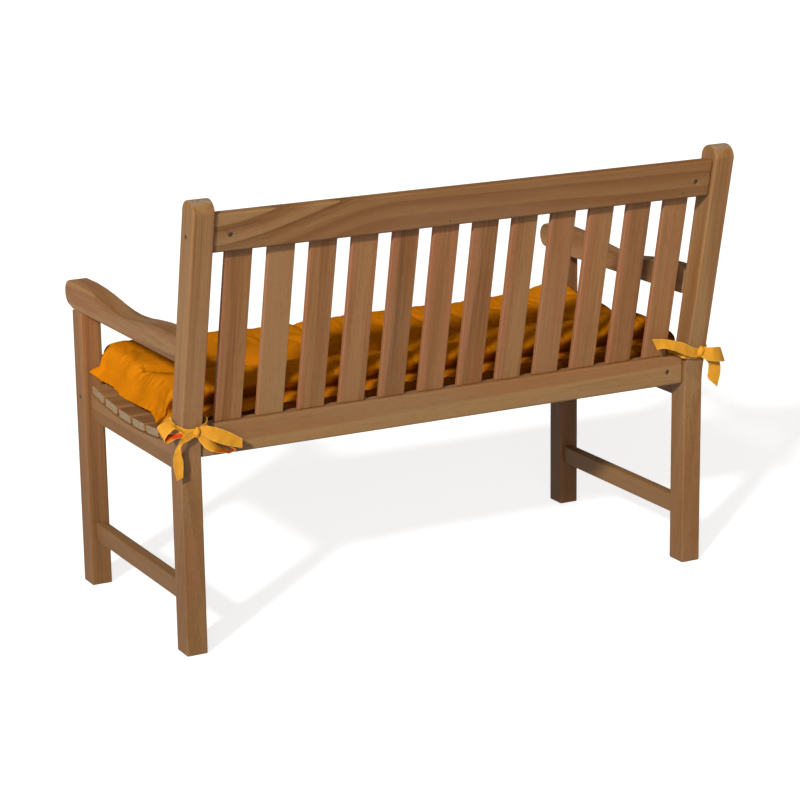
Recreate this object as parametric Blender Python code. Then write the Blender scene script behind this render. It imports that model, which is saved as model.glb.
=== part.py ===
"""Garden bench with a tied seat cushion.

The cushion is a filled cover with a flat flange round its edge. A ribbon is sewn to each of its two
rear corners, and each ribbon is tied in a bow round a rear post of the bench. The bench is teak: two
front legs under shaped arms, two rear posts that rake back, rails, stretchers and slats.

Metres, +Z up. The bench faces -Y, and its left end is at +X. Depths are worked out from a line midway
between the front of the front feet and the back of the rear feet. The finished pieces are then moved
forward by ORIGIN_BACK, which puts the origin on the floor under the middle of the whole bench.
"""
from collections import namedtuple
from math import cos, exp, hypot, pi, sin, sqrt

import bmesh
import bpy
from mathutils import Vector

# ---- driving sizes of the bench -------------------------------------------------------------
BENCH_WIDTH = 1.200
FEET_DEPTH = 0.548
BENCH_HEIGHT = 0.917
ORIGIN_BACK = 0.0300             # from the middle of the feet back to the middle of the whole bench
GAP = 0.0003                     # clearance between pieces that touch

POST_WIDTH = 0.0444              # along X, legs and rear posts
LEG_DEPTH = 0.0484
POST_DEPTH = 0.0498
POST_TOP_DEPTH = 0.0552
KINK_HEIGHT = 0.412              # where a rear post starts to rake back
RAKE_RUN = 0.109                 # how far back its top stands

ARM_WIDTH = 0.0445
ARM_UNDERSIDE = 0.5900
ARM_BACK_TOP = 0.6425            # top of the arm where it meets the rear post
ARM_INSET = 0.0020

SIDE_RAIL_OUTER = 0.5856
SIDE_RAIL_WIDTH = 0.0240
SIDE_RAIL_BOTTOM = 0.3630
SEAT_LOW = 0.4165                # lowest height of the dished seat
SEAT_LOW_Y = -0.010
SEAT_DISH = 0.40                 # height = SEAT_LOW + SEAT_DISH * (y - SEAT_LOW_Y)^2
SEAT_SLAT_THICK = 0.0175
SEAT_SLAT_WIDTH = 0.0585
SEAT_SLAT_PITCH = 0.0718
SEAT_SLAT_COUNT = 6
SEAT_SLAT_END = 0.5820           # half length
REAR_SLAT_WIDTH = 0.0280
FRONT_SLAT_FRONT = -0.2905
FRONT_SLAT_BACK = -0.2335

STRETCHER_OUTER = 0.5872
STRETCHER_WIDTH = 0.0237
STRETCHER_BOTTOM = 0.0980
STRETCHER_TOP = 0.1375

LOW_RAIL_FRONT = 0.2360
LOW_RAIL_BACK = 0.2682
LOW_RAIL_BOTTOM = 0.3970
LOW_RAIL_TOP = 0.4608
FRONT_RAIL_FRONT = -0.2680
FRONT_RAIL_BACK = -0.2400
FRONT_RAIL_BOTTOM = 0.3630

TOP_RAIL_RECESS = 0.0080         # behind the posts' back face, square to the raked back
TOP_RAIL_THICK = 0.0320
TOP_RAIL_BOTTOM = 0.8120
TOP_RAIL_TOP = 0.8890
BACK_SLAT_RECESS = 0.0260
BACK_SLAT_THICK = 0.0115
BACK_SLAT_WIDTH = 0.0564
BACK_SLAT_PITCH = 0.0891
BACK_SLAT_COUNT = 12

PLUG_RADIUS = 0.0052             # counterbored screw holes
PLUG_DEPTH = 0.0030
EASE = 0.0022                    # softened edges of the planed timber

# ---- driving sizes of the cushion and ribbons -----------------------------------------------
CUSHION_HALF = 0.5780            # half length to the flange's edge
RIGHT_EXTRA = 0.0140             # the right end reaches this much further
CUSHION_BETWEEN_LEGS = 0.5525    # half length where it passes between the front legs
CUSHION_FRONT = -0.2880
CUSHION_REAR = 0.1740
FLANGE_WIDTH = 0.0165            # level reach from the seam to the edge
FLANGE_DROP = 0.0140             # how far the edge hangs below the seam
FLANGE_THICK = 0.0030
SEAM_RISE = 0.0400               # the seam above the seat
CUSHION_THICK = 0.0770           # filled height above the seat
SEAT_CLEAR = 0.0008
CREST = ((-0.600, 0.0000), (-0.470, 0.0015), (-0.370, -0.0025), (-0.270, -0.0055), (-0.170, 0.0015),
         (0.030, 0.0015), (0.125, -0.0012), (0.220, -0.0010), (0.320, 0.0035), (0.487, 0.0060),
         (0.600, 0.0020))
RIBBON_THICK = 0.0020

# ---- sizes worked out from them --------------------------------------------------------------
HALF_WIDTH = BENCH_WIDTH / 2
POST_INNER = HALF_WIDTH - POST_WIDTH
LEG_FRONT = -FEET_DEPTH / 2
LEG_BACK = LEG_FRONT + LEG_DEPTH
POST_BACK = FEET_DEPTH / 2
POST_FRONT = POST_BACK - POST_DEPTH
RAKE_LENGTH = hypot(RAKE_RUN, BENCH_HEIGHT - KINK_HEIGHT)
RAKE_SIN = RAKE_RUN / RAKE_LENGTH
RAKE_COS = (BENCH_HEIGHT - KINK_HEIGHT) / RAKE_LENGTH


def seat_height(y):
    """Height of the dished seat at a depth y."""
    return SEAT_LOW + SEAT_DISH * (y - SEAT_LOW_Y) ** 2


def post_back_at(z):
    """Depth of the rear posts' back face at a height."""
    return POST_BACK + RAKE_RUN * max(0.0, z - KINK_HEIGHT) / (BENCH_HEIGHT - KINK_HEIGHT)


def raked(recess, z):
    """A (y, z) point sunk square to the posts' back face, on the level line at height z."""
    return post_back_at(z) - recess / RAKE_COS, z


def smooth_step(value, low, high):
    t = min(max((value - low) / (high - low), 0.0), 1.0)
    return t * t * (3 - 2 * t)


# ---- materials -------------------------------------------------------------------------------
def principled(name, colour, roughness, metallic=0.0):
    material = bpy.data.materials.new(name)
    material.use_nodes = True
    shader = material.node_tree.nodes["Principled BSDF"]
    shader.inputs["Base Color"].default_value = (*colour, 1.0)
    shader.inputs["Roughness"].default_value = roughness
    shader.inputs["Metallic"].default_value = metallic
    material.diffuse_color = (*colour, 1.0)
    return material


# ---- shaping tools ---------------------------------------------------------------------------
def finish_object(name, bm, material, smooth_angle=0.6):
    mesh = bpy.data.meshes.new(name)
    bmesh.ops.recalc_face_normals(bm, faces=bm.faces)
    bm.to_mesh(mesh)
    bm.free()
    mesh.shade_smooth()
    mesh.set_sharp_from_angle(angle=smooth_angle)
    mesh.materials.append(material)
    piece = bpy.data.objects.new(name, mesh)
    bpy.context.scene.collection.objects.link(piece)
    return piece


def ease_edges(piece, width=EASE, segments=2):
    bevel = piece.modifiers.new("eased edges", "BEVEL")
    bevel.width = width
    bevel.segments = segments
    bevel.limit_method = "ANGLE"
    bevel.angle_limit = 0.6


def board(name, outline, x_low, x_high, material, ease=EASE):
    """A board whose (y, z) outline is extruded along X, with eased edges."""
    bm = bmesh.new()
    corners = [bm.verts.new((x_low, y, z)) for y, z in outline]
    end = bm.faces.new(corners)
    grown = bmesh.ops.extrude_face_region(bm, geom=[end])
    moved = [item for item in grown["geom"] if isinstance(item, bmesh.types.BMVert)]
    bmesh.ops.translate(bm, verts=moved, vec=(x_high - x_low, 0, 0))
    piece = finish_object(name, bm, material)
    ease_edges(piece, ease)
    return piece


def beam(name, low, high, material, ease=EASE):
    """A square timber between two opposite corners."""
    outline = [(low[1], low[2]), (high[1], low[2]), (high[1], high[2]), (low[1], high[2])]
    return board(name, outline, low[0], high[0], material, ease)


def bore(piece, centre, direction):
    """A counterbored screw hole in a face of a piece."""
    bm = bmesh.new()
    bmesh.ops.create_cone(bm, cap_ends=True, segments=14, radius1=PLUG_RADIUS, radius2=PLUG_RADIUS,
                          depth=2 * PLUG_DEPTH)
    turn = Vector((0, 0, 1)).rotation_difference(Vector(direction)).to_matrix()
    bmesh.ops.rotate(bm, verts=bm.verts, matrix=turn)
    bmesh.ops.translate(bm, verts=bm.verts, vec=centre)
    cutter = finish_object(piece.name + "_cutter", bm, piece.data.materials[0])
    cutter.hide_render = True
    cutter.display_type = "WIRE"
    cut = piece.modifiers.new("screw hole", "BOOLEAN")
    cut.operation = "DIFFERENCE"
    cut.object = cutter


# ---- bench: legs, posts, arms ----------------------------------------------------------------
def post_outline():
    """(y, z) outline of a rear post: upright to the kink, raked above it, with a rounded top."""
    radius_y = POST_TOP_DEPTH / 2
    radius_z = 0.026
    shoulder = BENCH_HEIGHT - radius_z
    back = post_back_at(shoulder)
    top = [(back - radius_y + radius_y * cos(a), shoulder + radius_z * sin(a))
           for a in [pi * step / 14 for step in range(15)]]
    front_low = post_back_at(KINK_HEIGHT + 0.03) - POST_DEPTH - 0.001
    back_low = [(POST_BACK, 0.0), (POST_BACK, KINK_HEIGHT - 0.012),
                (post_back_at(KINK_HEIGHT + 0.014) - 0.0002, KINK_HEIGHT + 0.014)]
    return back_low + top + [(front_low, KINK_HEIGHT + 0.03), (POST_FRONT, KINK_HEIGHT - 0.02),
                             (POST_FRONT, 0.0)]


def arm_outline():
    """(y, z) outline of an arm: level underside, swan-curved top and a rounded nose."""
    Row = namedtuple("Row", "y z")
    top_rows = [Row(0.205, 0.6438), Row(0.150, 0.6415), Row(0.100, 0.6365), Row(0.050, 0.6300),
                Row(0.000, 0.6270), Row(-0.045, 0.6285), Row(-0.090, 0.6335), Row(-0.140, 0.6405),
                Row(-0.190, 0.6455), Row(-0.240, 0.6480)]
    nose_y, nose_z, nose_radius = -0.2900, 0.6205, 0.0275
    nose = [(nose_y - nose_radius * sin(a), nose_z + nose_radius * cos(a))
            for a in [pi * step / 12 for step in range(1, 11)]]
    lip = [(-0.2900, ARM_UNDERSIDE + 0.0035), (-0.2760, ARM_UNDERSIDE)]
    at_post = [(arm_back_at(z), z) for z in (ARM_UNDERSIDE, ARM_BACK_TOP)]
    return at_post + [(row.y, row.z) for row in top_rows] + nose + lip


def arm_back_at(z):
    """Depth where an arm's rear end meets the raked front face of a post."""
    shoulder = BENCH_HEIGHT - 0.026
    front_top = post_back_at(shoulder) - POST_TOP_DEPTH
    front_low = post_back_at(KINK_HEIGHT + 0.03) - POST_DEPTH - 0.001
    share = (z - KINK_HEIGHT - 0.03) / (shoulder - KINK_HEIGHT - 0.03)
    return front_low + share * (front_top - front_low) - GAP


def build_ends(wood):
    """Both ends of the bench. Each end is two uprights, an arm, a side rail and a stretcher."""
    for side, sign in (("left", 1), ("right", -1)):
        def span(outer, width):
            return tuple(sorted((sign * outer, sign * (outer - width))))

        x_low, x_high = span(HALF_WIDTH, POST_WIDTH)
        post = board(f"rear_post_{side}", post_outline(), x_low, x_high, wood, 0.0028)
        leg = beam(f"front_leg_{side}", (x_low, LEG_FRONT, 0.0), (x_high, LEG_BACK, ARM_UNDERSIDE - GAP),
                   wood, 0.0028)
        arm_low, arm_high = span(HALF_WIDTH - ARM_INSET, ARM_WIDTH)
        board(f"arm_{side}", arm_outline(), arm_low, arm_high, wood, 0.0030)

        rail_low, rail_high = span(SIDE_RAIL_OUTER, SIDE_RAIL_WIDTH)
        steps = 14
        rail_front, rail_back = LEG_BACK + GAP, POST_FRONT - GAP
        crest = [rail_back + (rail_front - rail_back) * step / steps for step in range(steps + 1)]
        under_slats = [(y, seat_height(y) - SEAT_SLAT_THICK - 2 * GAP - 0.0002) for y in crest]
        outline = [(rail_front, SIDE_RAIL_BOTTOM), (rail_back, SIDE_RAIL_BOTTOM)] + under_slats
        board(f"side_rail_{side}", outline, rail_low, rail_high, wood, 0.0012)

        bar_low, bar_high = span(STRETCHER_OUTER, STRETCHER_WIDTH)
        beam(f"stretcher_{side}", (bar_low, LEG_BACK + GAP, STRETCHER_BOTTOM),
             (bar_high, POST_FRONT - GAP, STRETCHER_TOP), wood, 0.0030)

        outward = (sign, 0, 0)
        rail_hole = raked(0.030, 0.846)
        bore(post, (sign * HALF_WIDTH, *rail_hole), outward)
        bore(leg, (sign * HALF_WIDTH, LEG_FRONT + 0.024, 0.408), outward)


# ---- bench: rails and slats ------------------------------------------------------------------
def build_back(wood, slat_wood):
    reach = POST_INNER - GAP
    recess, depth = TOP_RAIL_RECESS, TOP_RAIL_RECESS + TOP_RAIL_THICK
    outline = [raked(depth, TOP_RAIL_BOTTOM + GAP), raked(recess, TOP_RAIL_BOTTOM + GAP),
               raked(recess, TOP_RAIL_TOP), raked(depth, TOP_RAIL_TOP)]
    top_rail = board("back_rail_top", outline, -reach, reach, wood, 0.0050)
    low_rail = beam("back_rail_low", (-reach, LOW_RAIL_FRONT, LOW_RAIL_BOTTOM),
                    (reach, LOW_RAIL_BACK, LOW_RAIL_TOP), wood, 0.0050)
    for x in (0.5185, -0.5185):
        bore(top_rail, (x, *raked(recess, 0.846)), (0, RAKE_COS, -RAKE_SIN))
    bore(low_rail, (-0.5160, LOW_RAIL_BACK, 0.4270), (0, 1, 0))

    half = BACK_SLAT_WIDTH / 2
    front, back = BACK_SLAT_RECESS + BACK_SLAT_THICK, BACK_SLAT_RECESS
    foot, head = LOW_RAIL_TOP + GAP, TOP_RAIL_BOTTOM
    outline = [raked(front, foot), raked(back, foot), raked(back, head), raked(front, head)]
    for index in range(BACK_SLAT_COUNT):
        x = ((BACK_SLAT_COUNT - 1) / 2 - index) * BACK_SLAT_PITCH
        board(f"back_slat_{index + 1:02d}", outline, x - half, x + half, slat_wood, 0.0018)


def slat_outline(front, back):
    """(y, z) outline of a seat slat that bridges the dish between two depths."""
    top = [(front, seat_height(front)), (back, seat_height(back))]
    return [(y, z - SEAT_SLAT_THICK) for y, z in top] + list(reversed(top))


def build_seat(wood, slat_wood):
    reach = POST_INNER - GAP
    front_rail_top = seat_height(FRONT_RAIL_BACK) - SEAT_SLAT_THICK - GAP
    beam("front_rail", (-reach, FRONT_RAIL_FRONT, FRONT_RAIL_BOTTOM),
         (reach, FRONT_RAIL_BACK, front_rail_top), wood, 0.0030)
    board("seat_slat_front", slat_outline(FRONT_SLAT_FRONT, FRONT_SLAT_BACK), -reach, reach,
          slat_wood, 0.0040)
    first = LEG_BACK + 2 * GAP
    for index in range(SEAT_SLAT_COUNT + 1):
        front = first + index * SEAT_SLAT_PITCH
        width = SEAT_SLAT_WIDTH if index < SEAT_SLAT_COUNT else REAR_SLAT_WIDTH
        half = SEAT_SLAT_END if index < SEAT_SLAT_COUNT else reach
        board(f"seat_slat_{index + 1}", slat_outline(front, front + width), -half, half,
              slat_wood, 0.0020)


# ---- cushion ---------------------------------------------------------------------------------
def cushion_half_length(y, side):
    """Half length to the flange's edge: drawn in at mid depth, narrower between the front legs."""
    leg_pass = smooth_step(y, -0.2250, -0.2185)
    middle = (CUSHION_FRONT + CUSHION_REAR) / 2
    drawn_in = 0.0050 * (1 - ((y - middle) / 0.20) ** 2) if abs(y - middle) < 0.20 else 0.0
    wave = 0.0020 * sin(y * 62 + 0.8)
    full = CUSHION_HALF - drawn_in + wave + (RIGHT_EXTRA if side < 0 else 0.0)
    return CUSHION_BETWEEN_LEGS + (full - CUSHION_BETWEEN_LEGS) * leg_pass


def cushion_front_edge(x):
    return CUSHION_FRONT + (0.0050 + 0.0015 * sin(x * 37)) * (1 - (x / CUSHION_HALF) ** 2)


def cushion_rear_edge(x):
    return CUSHION_REAR - 0.0050 * (1 - (x / CUSHION_HALF) ** 2) + 0.0020 * sin(x * 31 + 1.0)


def corner_pull(x, y):
    """How the outline is pulled out at its corners: to the ribbons behind, up the legs in front."""
    sign = 1 if x > 0 else -1
    rear = exp(-((abs(x) - CUSHION_HALF) / 0.050) ** 2 - ((y - CUSHION_REAR) / 0.050) ** 2)
    ear = exp(-((abs(x) - CUSHION_HALF) / 0.020) ** 2 - ((y + 0.2170) / 0.010) ** 2)
    return Vector((sign * (0.0280 * rear + 0.0140 * ear), 0.0200 * rear, 0.0100 * ear - 0.0100 * rear))


def flange_height(x, y, inside):
    """Height of the flange's middle: level at the seam, hanging towards its wavy edge."""
    hang = FLANGE_DROP * (1 - min(inside / FLANGE_WIDTH, 1.0))
    return seat_height(y) + SEAM_RISE - hang + 0.0025 * sin(x * 23 + y * 40)


def crest(x):
    """How much fuller or thinner than average the front swell is along the cushion."""
    for (x0, fill0), (x1, fill1) in zip(CREST, CREST[1:]):
        if x0 <= x <= x1:
            return fill0 + (fill1 - fill0) * smooth_step(x, x0, x1)
    return 0.0


def fill_height(x, y):
    """Filled height above the seat: two long swells parted by a shallow uneven trough."""
    right = smooth_step(-x, 0.40, 0.57)
    trough_y = -0.045 + 0.020 * sin(x * 7.5 + 0.6) + 0.065 * right
    trough = 0.0110 * exp(-((y - trough_y) / 0.035) ** 2)
    front_swell = (0.0020 + crest(x)) * exp(-((y + 0.225) / 0.070) ** 2)
    end_swell = (0.0045 + 0.0150 * right) * exp(-((abs(x) - 0.530) / 0.055) ** 2)
    return CUSHION_THICK - trough + front_swell + end_swell


def spaced(low, high, count):
    return [low + (high - low) * step / count for step in range(count + 1)]


def edge_share(inside_x, inside_y, reach_x, reach_y):
    """0 at the seam to 1 a reach inside it, rising like a quarter circle."""
    if inside_x <= 0 or inside_y <= 0:
        return 0.0
    t = min(((inside_x / reach_x) ** -4 + (inside_y / reach_y) ** -4) ** -0.25, 1.0)
    return sqrt(1 - (1 - t) ** 2)


def cushion_column(share_x, y):
    """Bottom and top points of the cushion on one line of its grid."""
    half = cushion_half_length(y, share_x)
    x = share_x * half
    front = cushion_front_edge(x)
    rear = cushion_rear_edge(x)
    depth_share = (y - CUSHION_FRONT) / (CUSHION_REAR - CUSHION_FRONT)
    y = y + (front - CUSHION_FRONT) * (1 - depth_share) + (rear - CUSHION_REAR) * depth_share
    from_end = half - abs(x)
    from_side = min(y - front, rear - y)
    flange = flange_height(x, y, min(from_end, from_side))
    rise = seat_height(y) + fill_height(x, y) - flange
    drop = flange - seat_height(y) - SEAT_CLEAR
    inside = (from_end - FLANGE_WIDTH, from_side - FLANGE_WIDTH)
    top = flange + FLANGE_THICK / 2 + (rise - FLANGE_THICK / 2) * edge_share(*inside, 0.034, 0.072)
    bottom = flange - FLANGE_THICK / 2 - (drop - FLANGE_THICK / 2) * edge_share(*inside, 0.045, 0.045)
    pull = corner_pull(x, y)
    return Vector((x, y, bottom)) + pull, Vector((x, y, top)) + pull


def build_cushion(fabric):
    seam = FLANGE_WIDTH / CUSHION_HALF
    edge = 0.055 / CUSHION_HALF
    steps = (spaced(0.0, 1 - seam - edge, 17) + [1 - seam - edge * s for s in (0.70, 0.44, 0.23, 0.08, 0.0)]
             + [1 - seam / 2, 1.0])
    shares = [-share for share in reversed(steps[1:])] + steps
    front_seam, rear_seam = CUSHION_FRONT + FLANGE_WIDTH, CUSHION_REAR - FLANGE_WIDTH
    depths = ([CUSHION_FRONT, CUSHION_FRONT + FLANGE_WIDTH / 2]
              + [front_seam + 0.055 * s for s in (0.0, 0.10, 0.28, 0.50)]
              + [-0.2330, -0.2250, -0.2230, -0.2205, -0.2180, -0.2135, -0.2040]
              + spaced(-0.1850, rear_seam - 0.055, 12)
              + [rear_seam - 0.055 * s for s in (0.72, 0.46, 0.24, 0.09, 0.0)]
              + [CUSHION_REAR - FLANGE_WIDTH / 2, CUSHION_REAR])
    bm = bmesh.new()
    layers = ([], [])
    for y in depths:
        columns = [cushion_column(share, y) for share in shares]
        for layer in (0, 1):
            layers[layer].append([bm.verts.new(column[layer]) for column in columns])
    rows, cols = len(depths), len(shares)
    for layer in (0, 1):
        grid = layers[layer]
        for r in range(rows - 1):
            for c in range(cols - 1):
                bm.faces.new((grid[r][c], grid[r][c + 1], grid[r + 1][c + 1], grid[r + 1][c]))
    rim = ([(0, c) for c in range(cols - 1)] + [(r, cols - 1) for r in range(rows - 1)]
           + [(rows - 1, c) for c in range(cols - 1, 0, -1)] + [(r, 0) for r in range(rows - 1, 0, -1)])
    for (r, c), (next_r, next_c) in zip(rim, rim[1:] + rim[:1]):
        bm.faces.new((layers[0][r][c], layers[0][next_r][next_c],
                      layers[1][next_r][next_c], layers[1][r][c]))
    finish_object("cushion", bm, fabric, smooth_angle=1.2)


# ---- ribbons ---------------------------------------------------------------------------------
# A section across a ribbon: its middle (out = away from the bench's middle, back = behind the
# post's back face, z = height) and the reach from there to the ribbon's upper or far edge.
Section = namedtuple("Section", "out back z reach_out reach_back reach_z")


def strip(points, reaches, name, material):
    """A closed flat strip through points, each with the reach to its edge."""
    bm = bmesh.new()
    rings = []
    for index, (point, reach) in enumerate(zip(points, reaches)):
        ahead = points[min(index + 1, len(points) - 1)] - points[max(index - 1, 0)]
        normal = ahead.cross(reach).normalized() * RIBBON_THICK / 2
        rings.append([bm.verts.new(point + s * reach + t * normal)
                      for s, t in ((-1, -1), (1, -1), (1, 1), (-1, 1))])
    for low, high in zip(rings, rings[1:]):
        for k in range(4):
            bm.faces.new((low[k], low[(k + 1) % 4], high[(k + 1) % 4], high[k]))
    bm.faces.new(rings[0])
    bm.faces.new(rings[-1])
    return finish_object(name, bm, material)


def smooth_run(rows, steps):
    """Catmull-Rom curve through rows of plain numbers."""
    padded = [rows[0]] + rows + [rows[-1]]
    out = []
    for k in range(1, len(padded) - 2):
        for step in range(steps):
            t = step / steps
            out.append([0.5 * (2 * b + (c - a) * t + (2 * a - 5 * b + 4 * c - d) * t * t
                               + (3 * b - a - 3 * c + d) * t ** 3)
                        for a, b, c, d in zip(padded[k - 1], padded[k], padded[k + 1], padded[k + 2])])
    return out + [list(rows[-1])]


def place(sign, row):
    """World point and edge reach of a ribbon section beside the left (+1) or right (-1) post."""
    out, back, z, reach_out, reach_back, reach_z = row
    point = Vector((sign * (HALF_WIDTH + out), post_back_at(0.455) + back, z))
    return point, Vector((sign * reach_out, reach_back, reach_z))


def build_tie(name, sign, runs, knot, knot_size, fabric):
    """One ribbon: its runs joined by the knot into a single piece."""
    centre, _ = place(sign, (*knot, 0, 0, 0))
    bm = bmesh.new()
    bmesh.ops.create_icosphere(bm, subdivisions=2, radius=1.0)
    bmesh.ops.scale(bm, verts=bm.verts, vec=knot_size)
    bmesh.ops.translate(bm, verts=bm.verts, vec=centre)
    tie = finish_object(name, bm, fabric, smooth_angle=1.2)
    for run_name, sections in runs.items():
        placed = [place(sign, row) for row in smooth_run([list(row) for row in sections], 4)]
        run = strip([point for point, _ in placed], [reach for _, reach in placed],
                    f"{name}_{run_name}", fabric)
        run.hide_render = True
        run.display_type = "WIRE"
        join = tie.modifiers.new(run_name, "BOOLEAN")
        join.operation = "UNION"
        join.object = run


LEFT_KNOT = (-0.0287, 0.0085, 0.4560)
LEFT_RUNS = {
    "strap_outer": [
        Section(-0.0077, -0.0881, 0.4490, 0.0120, 0, 0.0010),
        Section(-0.0027, -0.0736, 0.4548, 0.0098, 0, 0.0070),
        Section(0.0031, -0.0586, 0.4623, 0.0040, 0, 0.0120),
        Section(0.0039, -0.0446, 0.4658, 0, 0.0010, 0.0125),
        Section(0.0035, -0.0306, 0.4593, 0, 0.0010, 0.0115),
        Section(0.0033, -0.0126, 0.4563, 0, 0.0010, 0.0100),
        Section(0.0025, 0.0012, 0.4558, 0, 0.0012, 0.0085),
        Section(-0.0052, 0.0036, 0.4568, 0, 0.0015, 0.0070),
        Section(-0.0167, 0.0046, 0.4548, 0, 0.0015, 0.0080),
        Section(-0.0287, 0.0076, 0.4543, 0, 0.0015, 0.0080)],
    "strap_inner": [
        Section(0.0043, -0.0546, 0.4599, 0, 0, 0.0115),
        Section(-0.0177, -0.0541, 0.4619, 0, 0, 0.0115),
        Section(-0.0367, -0.0546, 0.4649, 0.0020, 0, 0.0112),
        Section(-0.0547, -0.0496, 0.4674, 0.0085, 0.0020, 0.0080),
        Section(-0.0582, -0.0376, 0.4660, 0.0112, 0, 0.0030),
        Section(-0.0582, -0.0196, 0.4651, 0.0112, 0, 0.0025),
        Section(-0.0577, -0.0066, 0.4644, 0.0106, 0, 0.0038),
        Section(-0.0542, 0.0034, 0.4639, 0.0074, 0.0012, 0.0074),
        Section(-0.0467, 0.0059, 0.4609, 0.0044, 0.0018, 0.0086),
        Section(-0.0387, 0.0066, 0.4579, 0.0020, 0.0020, 0.0090),
        Section(-0.0297, 0.0074, 0.4539, 0, 0.0015, 0.0080)],
    "loop_outer": [
        Section(-0.0272, 0.0076, 0.4563, -0.0018, -0.0013, 0.0056),
        Section(-0.0040, 0.0085, 0.4603, -0.0009, -0.0029, 0.0054),
        Section(0.0073, 0.0066, 0.4680, 0.0016, -0.0058, 0.0048),
        Section(0.0201, 0.0033, 0.4751, 0.0035, -0.0081, 0.0054),
        Section(0.0362, 0.0034, 0.4692, 0.0034, -0.0080, 0.0090),
        Section(0.0431, 0.0023, 0.4589, 0.0039, -0.0081, 0.0126),
        Section(0.0346, 0.0004, 0.4514, 0.0039, -0.0080, 0.0084),
        Section(0.0183, 0.0001, 0.4520, 0.0039, -0.0078, 0.0035),
        Section(0.0028, 0.0056, 0.4535, 0.0028, -0.0032, 0.0040),
        Section(-0.0147, 0.0060, 0.4523, 0.0003, -0.0018, 0.0047),
        Section(-0.0271, 0.0058, 0.4533, -0.0018, -0.0013, 0.0054)],
    "tail_outer": [
        Section(-0.0237, 0.0087, 0.4555, 0.0018, 0, 0.0067),
        Section(-0.0120, 0.0102, 0.4522, 0.0067, 0.0005, 0.0059),
        Section(-0.0034, 0.0122, 0.4476, 0.0071, 0.0005, 0.0044),
        Section(0.0045, 0.0127, 0.4410, 0.0053, 0.0010, 0.0012),
        Section(0.0118, 0.0127, 0.4325, 0.0039, -0.0020, -0.0010),
        Section(0.0133, 0.0112, 0.4194, 0.0063, -0.0025, 0.0003),
        Section(0.0124, 0.0097, 0.4031, 0.0092, -0.0020, -0.0001),
        Section(0.0115, 0.0092, 0.3862, 0.0085, -0.0015, -0.0008),
        Section(0.0095, 0.0087, 0.3683, 0.0059, -0.0010, -0.0021)],
    "loop_inner": [
        Section(-0.0300, 0.0100, 0.4532, -0.0010, -0.0005, 0.0067),
        Section(-0.0394, 0.0108, 0.4426, -0.0036, -0.0015, 0.0095),
        Section(-0.0484, 0.0137, 0.4326, -0.0045, -0.0035, 0.0099),
        Section(-0.0624, 0.0137, 0.4226, -0.0059, -0.0085, 0.0059),
        Section(-0.0806, 0.0085, 0.4130, -0.0058, -0.0130, 0.0011),
        Section(-0.0966, 0.0043, 0.4063, -0.0046, -0.0135, -0.0016),
        Section(-0.1074, 0.0030, 0.4086, -0.0030, -0.0128, -0.0033),
        Section(-0.0987, 0.0026, 0.4161, -0.0028, -0.0123, -0.0027),
        Section(-0.0810, -0.0008, 0.4259, -0.0026, -0.0105, -0.0010),
        Section(-0.0606, -0.0024, 0.4385, -0.0022, -0.0056, 0.0012),
        Section(-0.0426, 0.0032, 0.4489, -0.0013, -0.0015, 0.0050),
        Section(-0.0300, 0.0054, 0.4542, -0.0010, -0.0005, 0.0067)],
    "tail_inner": [
        Section(-0.0302, 0.0087, 0.4554, -0.0002, -0.0005, 0.0076),
        Section(-0.0420, 0.0106, 0.4578, -0.0008, -0.0010, 0.0088),
        Section(-0.0541, 0.0136, 0.4525, -0.0009, -0.0020, 0.0127),
        Section(-0.0696, 0.0161, 0.4457, -0.0023, -0.0035, 0.0137),
        Section(-0.0906, 0.0166, 0.4366, -0.0025, -0.0030, 0.0125),
        Section(-0.1090, 0.0161, 0.4276, -0.0024, -0.0015, 0.0100),
        Section(-0.1190, 0.0166, 0.4236, -0.0008, -0.0010, 0.0088)],
}
RIGHT_KNOT = (-0.0178, 0.0100, 0.4685)
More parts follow.
